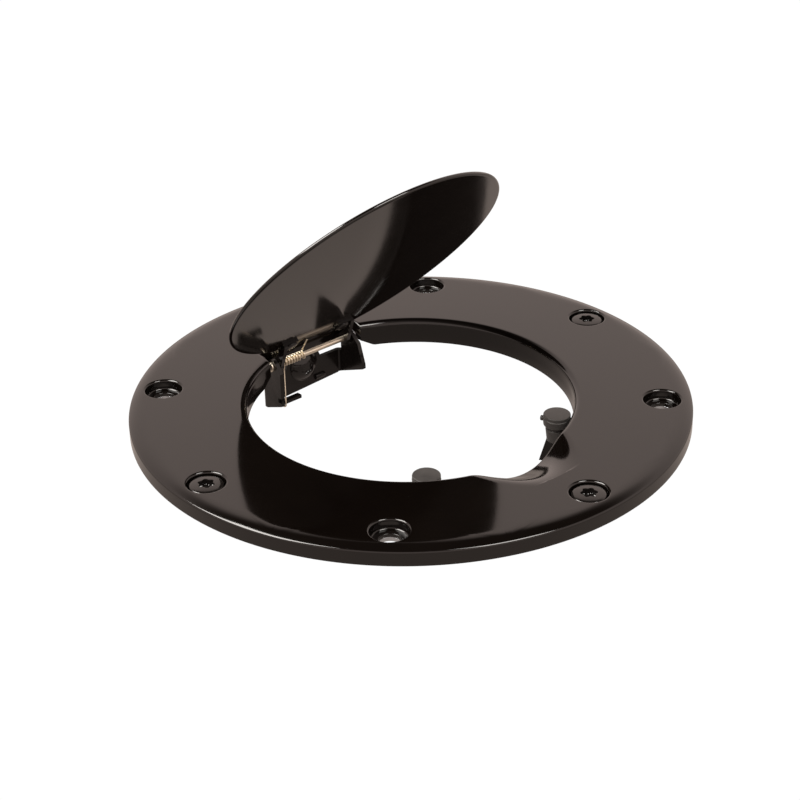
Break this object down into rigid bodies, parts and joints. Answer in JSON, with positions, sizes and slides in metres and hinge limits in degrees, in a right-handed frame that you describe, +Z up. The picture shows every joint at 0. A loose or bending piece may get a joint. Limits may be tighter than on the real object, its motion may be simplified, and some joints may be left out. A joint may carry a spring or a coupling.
{
  "type": "round deck hatch",
  "caption": "Round flush deck hatch with a counterbored black face ring, a finger scoop, rubber lid rests and a sprung round lid standing open on a sheet-steel hinge.",
  "frame": {"origin": "centre of the face ring on its underside, the face that sits on the deck", "axes": "+Z up out of the deck, +Y towards the hinge, -Y towards the finger scoop, the hinge pin along X"},
  "size_m": [0.19, 0.19, 0.1035],
  "materials": {
    "gloss_black_coat": "gloss",
    "black_bracket": "semi-gloss",
    "black_screw": "satin black oxide",
    "zinc_steel": "bright zinc plate",
    "pin_steel": "drawn, slightly warm",
    "spring_steel": "drawn wire",
    "rest_rubber": "matte"
  },
  "bodies": {
    "ring": {"face_ring": "gloss_black_coat", "backing_ring": "zinc_steel", "ring_screws": "black_screw", "ring_nuts": "zinc_steel", "hinge_bracket": "black_bracket", "hinge_bolt": "black_screw", "hinge_nut": "zinc_steel", "hinge_pin": "pin_steel", "pin_clip": "pin_steel", "torsion_spring": "spring_steel", "rest_left": "rest_rubber", "rest_right": "rest_rubber", "rest_arm_left": "black_bracket", "rest_arm_right": "black_bracket", "arm_rivets_left": "zinc_steel", "arm_rivets_right": "zinc_steel"},
    "lid": {"lid": "gloss_black_coat", "lid_bracket": "black_bracket", "lid_studs": "black_bracket", "spring_lid_leg": "spring_steel"}
  },
  "joints": [
    {"name": "lid_hinge", "type": "hinge", "parent": "ring", "child": "lid", "pos_m": [0, 0.0542, 0.0019], "axis": [1, 0, 0], "range_deg": [0, 50.2], "stiffness_Nm_per_rad": 0.0146, "springref_deg": -171.89}
  ]
}
